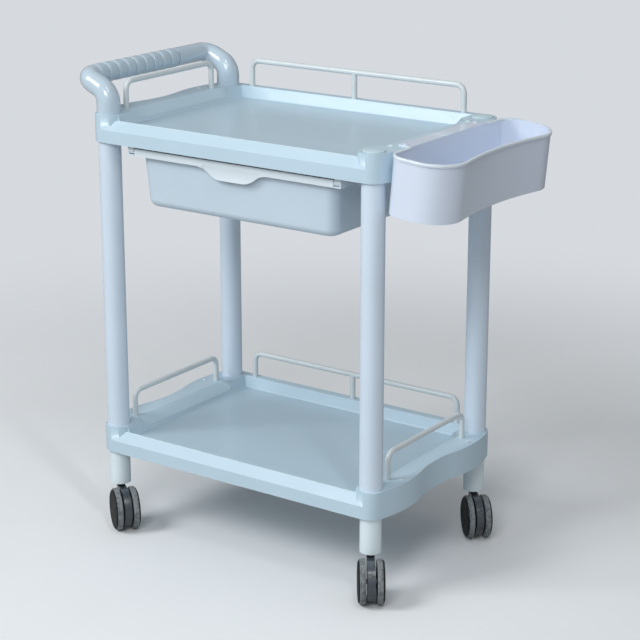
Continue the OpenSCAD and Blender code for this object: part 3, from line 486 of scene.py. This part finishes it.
def cad_copy(name):
    """A CAD node's mesh with its triangles welded and its flat faces made whole."""
    shape = bmesh.new()
    shape.from_mesh(CAD[name].data)
    bmesh.ops.remove_doubles(shape, verts=shape.verts, dist=WELD)
    bmesh.ops.dissolve_limit(shape, angle_limit=FLAT, verts=shape.verts, edges=shape.edges)
    return shape


def creases(shape, angle=CREASE):
    """Edges where two faces meet at more than the angle."""
    return [e for e in shape.edges if len(e.link_faces) == 2 and e.calc_face_angle(0) > angle]


def round_edges(shape, edges, radius, segments=3, worn=1.0):
    """Rounds the edges, and marks the crest of each rounding as the place where a hand rubs and
    where a painted highlight lightens it.
    """
    wear = shape.verts.layers.float.get("wear") or shape.verts.layers.float.new("wear")
    made = bmesh.ops.bevel(
        shape,
        geom=edges,
        offset=radius,
        offset_type="OFFSET",
        segments=segments,
        profile=0.5,
        affect="EDGES",
        clamp_overlap=True,
        material=-1,
    )
    rounding = set(made["faces"])
    for vert in made["verts"]:
        if rounding.issuperset(vert.link_faces):
            vert[wear] = worn


def block(shape, centre, size):
    """The corners of a new box of that size about a centre."""
    place = Matrix.Translation(centre) @ Matrix.Diagonal((*size, 1))
    return bmesh.ops.create_cube(shape, size=1, matrix=place)["verts"]


def turned(shape, profile, place, sides):
    """A profile of (radius, height) points turned about the axis of a place."""
    verts = [shape.verts.new(place @ Vector((radius, 0, height))) for radius, height in profile]
    edges = [shape.edges.new(pair) for pair in zip(verts, verts[1:])]
    bmesh.ops.spin(
        shape,
        geom=verts + edges,
        cent=place.translation,
        axis=place.to_3x3() @ UP,
        dvec=(0, 0, 0),
        angle=2 * math.pi,
        steps=sides,
        use_merge=True,
        use_duplicate=False,
    )
    bmesh.ops.remove_doubles(shape, verts=shape.verts, dist=WELD)
    bmesh.ops.recalc_face_normals(shape, faces=shape.faces)


def swept(shape, stations, sides):
    """A round tube through stations of (centre, across, up, radius), closed at both ends."""
    rings = []
    for centre, across, up, radius in stations:
        place = Matrix((across, up, across.cross(up))).transposed().to_4x4()
        place.translation = centre
        made = bmesh.ops.create_circle(
            shape, cap_ends=False, segments=sides, radius=radius, matrix=place
        )
        rings.append({edge for vert in made["verts"] for edge in vert.link_edges})
    for first, second in zip(rings, rings[1:]):
        bmesh.ops.bridge_loops(shape, edges=list(first | second))
    for ring in (rings[0], rings[-1]):
        bmesh.ops.edgeloop_fill(shape, edges=list(ring))
    bmesh.ops.recalc_face_normals(shape, faces=shape.faces)


def to_mesh(shape, name):
    data = bpy.data.meshes.new(name)
    shape.to_mesh(data)
    shape.free()
    return data


def add_object(name, data):
    made = bpy.data.objects.new(name, data)
    bpy.context.scene.collection.objects.link(made)
    return made


def add_piece(shape, name, slot, sharp=SHARP):
    """The finished shape as a piece that stands for its CAD node and moves with the node's body."""
    data = to_mesh(shape, name + "_look")
    data.shade_smooth()
    data.set_sharp_from_angle(angle=sharp)
    piece = add_object(name + "_look", data)
    data.materials.append(finish_for(slot))
    even = piece.modifiers.new("Even shading", "WEIGHTED_NORMAL")
    even.keep_sharp = True
    even.weight = 80
    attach(piece, CAD[name]["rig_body"])
    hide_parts(name)


def rounded_piece(name, slot, radius, segments=3):
    """A CAD node with all its sharp edges rounded."""
    shape = cad_copy(name)
    round_edges(shape, creases(shape), radius, segments)
    add_piece(shape, name, slot)


class CartOperator(bpy.types.Operator):
    """Builds one group of pieces of the cart"""

    bl_options = {"REGISTER", "UNDO"}


class CART_OT_trays(CartOperator):
    """Round the floors, the edges and the lips of both trays"""

    bl_idname = "cart.trays"
    bl_label = "Trays"

    def execute(self, context):
        for tray in TRAYS:
            shape = cad_copy(tray)
            round_tray(shape, tray)
            add_piece(shape, tray, "tray_plastic", TRAY_SHARP)
        return {"FINISHED"}


def round_tray(shape, tray):
    """Rounds the floor of a tray, then the foot of its skirt, its upper edges and its lips."""
    s = sizes()
    low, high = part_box(tray)
    floor = bowl_floor(tray)
    centre = middle(tray)
    post = middle("post_rear_right") - centre
    past_post = 0.015
    shortest_lip = 0.05
    steepest_lip = 0.3

    def level(edge, height):
        return all(abs(vert.co.z - height) < NEAR for vert in edge.verts)

    def outside(edge):
        wall = min(edge.link_faces, key=lambda face: abs(face.normal.z))
        place = (edge.verts[0].co + edge.verts[1].co) / 2 - centre
        far = abs(place.x) > post.x + past_post or abs(place.y) > post.y + past_post
        return far and wall.normal.xy.dot(place.xy) > 0

    def lip(edge):
        long = edge.calc_length() > shortest_lip and level(edge, edge.verts[0].co.z)
        rise = max(face.normal.z for face in edge.link_faces)
        foot, top = low.z + s.skirt_edge + NEAR, high.z - s.tray_edge - NEAR
        inside = all(foot < vert.co.z < top for vert in edge.verts)
        return long and inside and edge.is_convex and rise > steepest_lip

    bowl = [e for e in creases(shape) if level(e, floor) and not e.is_convex]
    round_edges(shape, bowl, s.bowl_fillet, segments=4, worn=0)
    # The rounded skirt, top and lip edges carry the mark of wear and painted highlight; the bowl
    # fillet does not.
    skirt = [e for e in creases(shape) if level(e, low.z) and outside(e)]
    round_edges(shape, skirt, s.skirt_edge, segments=4)
    top = [e for e in creases(shape) if level(e, high.z) and e.is_convex]
    round_edges(shape, top, s.tray_edge, segments=4)
    for outer in (True, False):
        lips = [e for e in creases(shape, LIP_CREASE) if lip(e) and outside(e) == outer]
        round_edges(shape, lips, s.lip_edge)


class CART_OT_posts(CartOperator):
    """Round the posts, the legs, the caps and the plugs"""

    bl_idname = "cart.posts"
    bl_label = "Posts and legs"

    def execute(self, context):
        for corner in CORNERS:
            rounded_piece("post_" + corner, "post_plastic", sizes().post_edge)
            rounded_piece("leg_" + corner, "leg_plastic", sizes().post_edge)
        for end in ("front", "rear"):
            cap("post_cap_" + end)
        rounded_piece("rail_hole_plugs", "cap_plastic", sizes().cap_edge)
        return {"FINISHED"}


def cap(name):
    """A domed cap with a soft rim, narrower than its hole so that a fine ring shows round it."""
    s = sizes()
    shape = cad_copy(name)
    to_local = Matrix.Translation(-middle(name))
    slim = 1 - s.cap_ring / (span(name).x / 2)
    bmesh.ops.scale(shape, vec=(slim, slim, 1), space=to_local, verts=shape.verts)
    round_edges(shape, creases(shape), s.cap_edge)
    add_piece(shape, name, "cap_plastic")


class CART_OT_handle(CartOperator):
    """Sweep the two elbows of the push handle and turn its grip"""

    bl_idname = "cart.handle"
    bl_label = "Push handle"

    def execute(self, context):
        for side, end in zip(SIDES, ("front", "rear")):
            shape = bmesh.new()
            swept(shape, elbow_stations(end, side), ELBOW_SIDES)
            add_piece(shape, "handle_elbow_" + end, "handle_plastic")
        start = middle("handle_grip")
        start.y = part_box("handle_grip")[0].y
        place = Matrix.Translation(start) @ Matrix.Rotation(-QUARTER, 4, "X")
        reach = span("handle_grip")
        shape = bmesh.new()
        turned(shape, grip_profile(reach.y, reach.x / 2), place, GRIP_SIDES)
        add_piece(shape, "handle_grip", "grip_plastic")
        return {"FINISHED"}


def elbow_stations(end, side):
    """Rings of an elbow: a foot in the tray, a lean outwards and a corner into the bar."""
    s = sizes()
    post = middle("post_" + end + "_left")
    grip_low, grip_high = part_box("handle_grip")
    foot = Vector((post.x, post.y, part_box("upper_tray")[1].z))
    inward = -side * Y
    lean_dir = Vector((-math.sin(s.lean), 0, math.cos(s.lean)))
    lean_up = Vector((math.cos(s.lean), 0, math.sin(s.lean)))

    def taper(share):
        return s.foot_r + (s.bar_r - s.foot_r) * share

    stations = [
        (foot - s.foot_depth * UP, X, inward, s.foot_r - s.foot_step),
        (foot, X, inward, s.foot_r - s.foot_step),
        (foot, X, inward, s.foot_r),
    ]
    for k in range(ELBOW_STEPS + 1):
        share = k / ELBOW_STEPS
        a = s.lean * share
        out, rise = s.lean_r * (1 - math.cos(a)), s.handle_rise + s.lean_r * math.sin(a)
        across = Vector((math.cos(a), 0, math.sin(a)))
        stations.append((foot - out * X + rise * UP, across, inward, taper(share / 2)))
    start = stations[-1][0] + s.lean_run * lean_dir
    for k in range(ELBOW_STEPS + 1):
        share = k / ELBOW_STEPS
        a = QUARTER * share
        centre = start + s.corner_r * (math.sin(a) * lean_dir + (1 - math.cos(a)) * inward)
        up = math.cos(a) * inward - math.sin(a) * lean_dir
        stations.append((centre, lean_up, up, taper((1 + share) / 2)))
    last = stations[-1][0].copy()
    last.y = grip_low.y if side < 0 else grip_high.y
    stations.append((last, lean_up, -lean_dir, s.bar_r))
    return stations


def grip_profile(reach, crest):
    """Finger ribs: shallow arcs that meet in narrow grooves."""
    s = sizes()
    pitch = reach / s.grip_ribs
    squareness = 6
    profile = [(0, 0)]
    for rib in range(s.grip_ribs):
        for k in range(RIB_STEPS):
            across = math.cos(math.pi * k / RIB_STEPS)
            radius = crest - s.grip_rise * across**squareness
            profile.append((radius, (rib + (1 - across) / 2) * pitch))
    return profile + [(crest - s.grip_rise, reach), (0, reach)]


class CART_OT_rails(CartOperator):
    """Bend the guard rails"""

    bl_idname = "cart.rails"
    bl_label = "Guard rails"

    def execute(self, context):
        for name in BACK_RAILS + END_RAILS:
            low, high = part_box(name)
            centre = middle(name)
            across = X if name in BACK_RAILS else Y
            side = UP.cross(across)
            rod_r = abs(span(name).dot(side)) / 2
            half = span(name).dot(across) / 2 - rod_r
            top = high.z - rod_r
            shape = bmesh.new()
            swept(shape, hoop_stations(centre, low.z, top, across, half, rod_r), ROD_SIDES)
            if name in BACK_RAILS:
                ends = [Vector((centre.x, centre.y, z)) for z in (low.z, top)]
                swept(shape, [(end, across, side, rod_r) for end in ends], ROD_SIDES)
            add_piece(shape, name, "rail_coating")
        return {"FINISHED"}


def hoop_stations(centre, foot, top, across, half, rod_r):
    """Rings of a bent rod: up one leg, along the bar and down the other leg."""
    bend_r = sizes().rail_bend
    side = UP.cross(across)
    stations = []
    for end in SIDES:
        out = across * end
        corner = Vector((centre.x, centre.y, top - bend_r)) + out * (half - bend_r)
        leg = corner + out * bend_r
        leg.z = foot
        bend = [(leg, side, out, rod_r)]
        for k in range(ROD_STEPS + 1):
            a = QUARTER * k / ROD_STEPS
            outer = out * math.cos(a) + UP * math.sin(a)
            bend.append((corner + bend_r * outer, side, outer, rod_r))
        stations += bend if end < 0 else bend[::-1]
    return stations


class CART_OT_drawer(CartOperator):
    """Build the drawer's tub, and round its front and its runners"""

    bl_idname = "cart.drawer"
    bl_label = "Drawer"

    def execute(self, context):
        for side in ("left", "right"):
            runner("drawer_runner_" + side)
        rounded_piece("drawer_front", "drawer_cream", sizes().strip_edge)
        shape = bmesh.new()
        tub(shape)
        add_piece(shape, "drawer_tub", "drawer_grey")
        return {"FINISHED"}


def runner(name):
    """A runner with eased edges, and a thin plate that closes the front of its upper channel."""
    edge = sizes().runner_edge
    shape = cad_copy(name)
    round_edges(shape, creases(shape), edge, segments=2)
    points = [vert.co for vert in CAD[name].data.vertices]
    levels = sorted({round(point.z, 4) for point in points})
    low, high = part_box(name)
    innermost = max if middle(name).x < middle("upper_tray").x else min
    inner = innermost(point.x for point in points if point.z < levels[1])
    outer = low.x if inner > middle(name).x else high.x
    foot, top = levels[2], levels[-1]
    thick = 2 * edge
    centre = Vector(((outer + inner) / 2, low.y + thick, (foot + top) / 2))
    block(shape, centre, Vector((abs(outer - inner) - thick, thick, top - foot - thick)))
    add_piece(shape, name, "drawer_cream")


def tub(shape):
    """A drafted box with rounded corners, open at the top, with a flat flange round its mouth."""
    s = sizes()
    low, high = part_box("drawer_tub")
    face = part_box("drawer_front")[0].y
    half_front = span("drawer_front").x / 2
    front, rear = face + s.tub_flange, high.y - s.tub_flange
    centre = Vector(((low.x + high.x) / 2, (front + rear) / 2, (low.z + high.z) / 2))
    size = Vector((2 * (half_front - s.tub_inset), rear - front, high.z - low.z))
    for vert in block(shape, centre, size):
        if vert.co.z < centre.z:
            vert.co.x -= math.copysign(s.tub_draft, vert.co.x - centre.x)
            vert.co.y -= math.copysign(s.tub_draft, vert.co.y - centre.y)
    upright = [e for e in shape.edges if abs(e.verts[0].co.z - e.verts[1].co.z) > size.z / 2]
    round_edges(shape, upright, s.tub_corner, segments=8, worn=0)
    bottom = [e for e in shape.edges if all(v.co.z < low.z + WELD for v in e.verts)]
    round_edges(shape, bottom, s.tub_bottom, segments=8, worn=0)
    lid = [f for f in shape.faces if all(v.co.z > high.z - WELD for v in f.verts)]
    bmesh.ops.delete(shape, geom=lid, context="FACES_ONLY")

    rim = [e for e in shape.edges if e.is_boundary]
    made = bmesh.ops.extrude_edge_only(shape, edges=rim)["geom"]
    # The flange's points go straight out from the core that the round corners stand on.
    core = Vector((size.x / 2 - s.tub_corner, size.y / 2 - s.tub_corner))
    tab_rear = low.y + 1.5 * s.tub_wall
    for vert in (v for v in made if isinstance(v, bmesh.types.BMVert)):
        away = vert.co.xy - centre.xy
        edge = Vector((high.x if away.x > 0 else low.x, high.y if away.y > 0 else low.y))
        edge -= centre.xy
        out = [max(abs(a) - c, 0) for a, c in zip(away, core)]
        reach = min((abs(e) - c) / o for e, c, o in zip(edge, core, out) if o > WELD)
        for axis in (0, 1):
            if out[axis] > 0:
                moved = math.copysign(core[axis] + out[axis] * reach, away[axis])
                vert.co[axis] = centre[axis] + moved
        # Beside the drawer front, the flange comes forward in tabs to the runners' ends.
        if vert.co.y < tab_rear and abs(vert.co.x - centre.x) > half_front:
            vert.co.y = face + s.runner_edge

    bmesh.ops.recalc_face_normals(shape, faces=shape.faces)
    bmesh.ops.solidify(shape, geom=list(shape.faces), thickness=s.tub_wall)
    bmesh.ops.recalc_face_normals(shape, faces=shape.faces)
    round_edges(shape, creases(shape, TUB_CREASE), s.tub_edge, segments=2)


class CART_OT_side_bin(CartOperator):
    """Round the rim, the flange and the bottom of the side bin, and lay the bead on its rim"""

    bl_idname = "cart.side_bin"
    bl_label = "Side bin"

    def execute(self, context):
        s = sizes()
        shape = cad_copy("side_bin")
        low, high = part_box("side_bin")
        third = low.z + (high.z - low.z) / 3
        # Painted highlight: the bead gets twice the full mark, so that it is painted lighter along
        # the rim.
        bead_highlight = 2
        deep = [e for e in creases(shape) if all(v.co.z < third for v in e.verts)]
        round_edges(shape, deep, s.bin_bottom, segments=5, worn=0)
        # The rim's flat top leans a little, and the flange is level.
        leaned = [face for face in shape.faces if 0.9 < face.normal.z < 0.9999]
        rim = max(leaned, key=lambda face: face.calc_center_median().z)
        stations = bead_stations(rim)
        crest = [e for e in rim.edges if e.is_convex]
        round_edges(shape, crest, s.bin_edge, segments=5, worn=0)
        rest = [e for e in creases(shape) if all(v.co.z > third for v in e.verts)]
        round_edges(shape, rest, s.bin_flange, worn=0)
        before = set(shape.verts)
        swept(shape, stations, BEAD_SIDES)
        wear = shape.verts.layers.float["wear"]
        for vert in set(shape.verts) - before:
            vert[wear] = bead_highlight
        add_piece(shape, "side_bin", "bin_plastic")
        return {"FINISHED"}


def bead_stations(rim):
    """Rings of the bead: along the outer edge of the rim's flat top, sunk in it but for a hair."""
    s = sizes()
    heart = middle("side_bin")
    loops = list(rim.loops)
    outer = []
    for loop in loops:
        wall = next(face for face in loop.edge.link_faces if face is not rim)
        place = (loop.edge.verts[0].co + loop.edge.verts[1].co) / 2 - heart
        outer.append(loop.edge.is_convex and wall.normal.dot(place) > 0)
    first = next(k for k in range(len(loops)) if outer[k] and not outer[k - 1])
    path = [loops[first].vert.co.copy()]
    for k in range(first, first + sum(outer)):
        point = loops[k % len(loops)].link_loop_next.vert.co
        if (point - path[-1]).length > s.bin_bead / 4:
            path.append(point.copy())
    up = rim.normal.copy()
    stations = []
    for k, point in enumerate(path):
        along = path[min(k + 1, len(path) - 1)] - path[max(k - 1, 0)]
        across = up.cross(along).normalized()
        centre = point + across * s.bin_edge - up * s.bead_sunk * s.bin_bead
        stations.append((centre, across, up, s.bin_bead))
    return stations


class CART_OT_screws(CartOperator):
    """Round the heads of the screws in the ledges, the runners and the drawer front"""

    bl_idname = "cart.screws"
    bl_label = "Screws"

    def execute(self, context):
        for screws in SCREWS:
            rounded_piece(screws, "screw_steel", sizes().screw_edge, segments=2)
        return {"FINISHED"}


class CART_OT_casters(CartOperator):
    """Round the stems, the hoods, the axles and the hubs, and turn the tyres"""

    bl_idname = "cart.casters"
    bl_label = "Casters"

    def execute(self, context):
        s = sizes()
        rounded_piece("caster_stems", "stem_black", s.steel_edge, segments=2)
        for corner in CORNERS:
            axis = middle("inner_tyre_" + corner) - middle("outer_tyre_" + corner)
            hood("hood_" + corner, axis)
            rounded_piece("axle_" + corner, "axle_steel", s.steel_edge, segments=2)
            for side in ("inner", "outer"):
                rounded_piece(f"{side}_hub_{corner}", "hub_plastic", s.hub_edge, segments=2)
                tyre(f"{side}_tyre_{corner}", axis)
        return {"FINISHED"}


def axle_place(name, axis):
    """Place at the middle of a CAD node with its Z along the axle."""
    place = axis.to_track_quat("Z", "Y").to_matrix().to_4x4()
    place.translation = middle(name)
    return place


def hood(name, axis):
    """A hood brought to its width between the wheels, with rounded rims."""
    s = sizes()
    to_local = axle_place(name, axis).inverted()
    shape = cad_copy(name)
    wide = max((to_local @ vert.co).z for vert in shape.verts)
    widen = (1, 1, s.hood_width / (2 * wide))
    bmesh.ops.scale(shape, vec=widen, space=to_local, verts=shape.verts)

    def on_rim(vert):
        return abs((to_local @ vert.co).z) > s.hood_width / 2 - NEAR / 2

    round_edges(shape, [e for e in creases(shape) if all(map(on_rim, e.verts))], s.hood_edge)
    add_piece(shape, name, "hood_plastic")


def tyre(name, axis):
    """A tyre with a flat tread and small rounded shoulders, as wide and as high as its CAD node."""
    place = axle_place(name, axis)
    points = [place.inverted() @ vert.co for vert in CAD[name].data.vertices]
    outer, inner = (pick(point.xy.length for point in points) for pick in (max, min))
    high = max(point.z for point in points)
    profile = [(inner, -high), (outer, -high), (outer, high), (inner, high), (inner, -high)]
    shape = bmesh.new()
    turned(shape, profile, place, TYRE_SIDES)
    # The edges round the bore are shorter than those of the two shoulders.
    shortest = 0.06 * outer
    shoulders = [e for e in creases(shape) if e.calc_length() > shortest]
    round_edges(shape, shoulders, sizes().tyre_edge, segments=4)
    add_piece(shape, name, "tyre_rubber")


class CART_OT_stage(CartOperator):
    """Set the floor, the room, the lamps and the camera"""

    bl_idname = "cart.stage"
    bl_label = "Stage"

    def execute(self, context):
        scene = context.scene
        stage = scene.cart_stage
        shape = bmesh.new()
        bmesh.ops.create_grid(shape, x_segments=1, y_segments=1, size=FLOOR_REACH)
        floor = add_object("floor", to_mesh(shape, "floor"))
        floor.data.materials.append(floor_finish(stage.floor, stage.back))
        scene.world = room(stage)
        heart = (0, 0, 0.45)
        lamps = [
            lamp("main_lamp", (-2.3, -3.4, 3.7), heart, (2.0, 2.0), stage.key),
            lamp("side_lamp", (1.2, -3.3, 2.7), heart, (1.4, 1.4), stage.fill),
            lamp("strip_lamp", (1.1, -0.9, 2.7), (-0.2, 0, 0.8), (0.10, 1.2), stage.glint),
        ]
        camera = add_object("camera", bpy.data.cameras.new("camera"))
        camera.data.lens = stage.lens
        camera.data.sensor_width = SENSOR
        camera.location = CAMERA_PLACE
        camera.rotation_euler = (CAMERA_TILT, 0, CAMERA_TURN)
        scene.camera = camera
        scene.view_settings.view_transform = "Standard"
        return {"FINISHED"}


def seen(tree):
    """One for a ray that comes straight from the camera, and else nought."""
    return node(tree, "LightPath").outputs["Is Camera Ray"]


def floor_finish(base, back):
    """Pale matt floor that takes the cart's shadow, and fades into the room further out."""
    finish, tree, shader, coords = start_finish("floor")
    body = cloudy(tree, noise(tree, coords, 3), base, (0.3, 0.985), (0.7, 1.01))
    # What the floor throws back on the cart is darker, so that its underside keeps its shade.
    body = mixed(tree, seen(tree), shade(base, 0.58), body)
    wire(tree, shader, {"Base Color": body, "Roughness": 0.75})
    away = node(tree, "VectorMath", {"Vector": coords}, operation="LENGTH").outputs["Value"]
    away = between(tree, away, FLOOR_FADE, interpolation_type="SMOOTHERSTEP")
    pale = node(tree, "Emission", {"Color": shade(back, 1)}).outputs["Emission"]
    fade = maths(tree, "MULTIPLY", away, seen(tree))
    joined = node(tree, "MixShader", {0: fade, 1: shader.outputs["BSDF"], 2: pale})
    wire(tree, tree.nodes["Material Output"], {"Surface": joined.outputs["Shader"]})
    return finish


def room(stage):
    """Even cool light all round, in front of a plain pale room."""
    world = bpy.data.worlds.new("room")
    world.use_nodes = True
    tree = world.node_tree
    light = tree.nodes["Background"]
    wire(tree, light, {"Color": shade(stage.room_tint, 1), "Strength": stage.sky})
    pale = node(tree, "Background", {"Color": shade(stage.back, 1), "Strength": 1.0})
    sides = {0: seen(tree), 1: light.outputs["Background"], 2: pale.outputs["Background"]}
    joined = node(tree, "MixShader", sides).outputs["Shader"]
    wire(tree, tree.nodes["World Output"], {"Surface": joined})
    return world


def lamp(name, place, target, size, power):
    """A soft lamp that looks at a point."""
    data = bpy.data.lights.new(name, "AREA")
    data.shape = "RECTANGLE"
    data.size, data.size_y = size
    data.energy = power
    data.color = bpy.context.scene.cart_stage.lamp_tint
    made = add_object(name, data)
    made.location = place
    made.rotation_euler = (Vector(target) - Vector(place)).to_track_quat("-Z", "Y").to_euler()
    return made


OPERATORS = (
    CART_OT_trays,
    CART_OT_posts,
    CART_OT_handle,
    CART_OT_rails,
    CART_OT_drawer,
    CART_OT_side_bin,
    CART_OT_screws,
    CART_OT_casters,
    CART_OT_stage,
)


class CART_PT_panel(bpy.types.Panel):
    """Builds the cart group by group"""

    bl_label = "Instrument cart"
    bl_idname = "CART_PT_panel"
    bl_space_type = "VIEW_3D"
    bl_region_type = "UI"
    bl_category = "Cart"

    def draw(self, context):
        for operator in OPERATORS:
            self.layout.operator(operator.bl_idname)


GROUPS = {"cart_sizes": CartSizes, "cart_finishes": CartFinishes, "cart_stage": CartStage}
CLASSES = (*GROUPS.values(), *OPERATORS, CART_PT_panel)


def register():
    for cls in CLASSES:
        bpy.utils.register_class(cls)
    for name, group in GROUPS.items():
        setattr(bpy.types.Scene, name, PointerProperty(type=group))


def unregister():
    for name in GROUPS:
        delattr(bpy.types.Scene, name)
    for cls in reversed(CLASSES):
        bpy.utils.unregister_class(cls)


def main():
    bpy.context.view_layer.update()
    register()
    bpy.ops.cart.trays()
    bpy.ops.cart.posts()
    bpy.ops.cart.handle()
    bpy.ops.cart.rails()
    bpy.ops.cart.drawer()
    bpy.ops.cart.side_bin()
    bpy.ops.cart.screws()
    bpy.ops.cart.casters()
    bpy.ops.cart.stage()


if __name__ == "__main__":
    main()
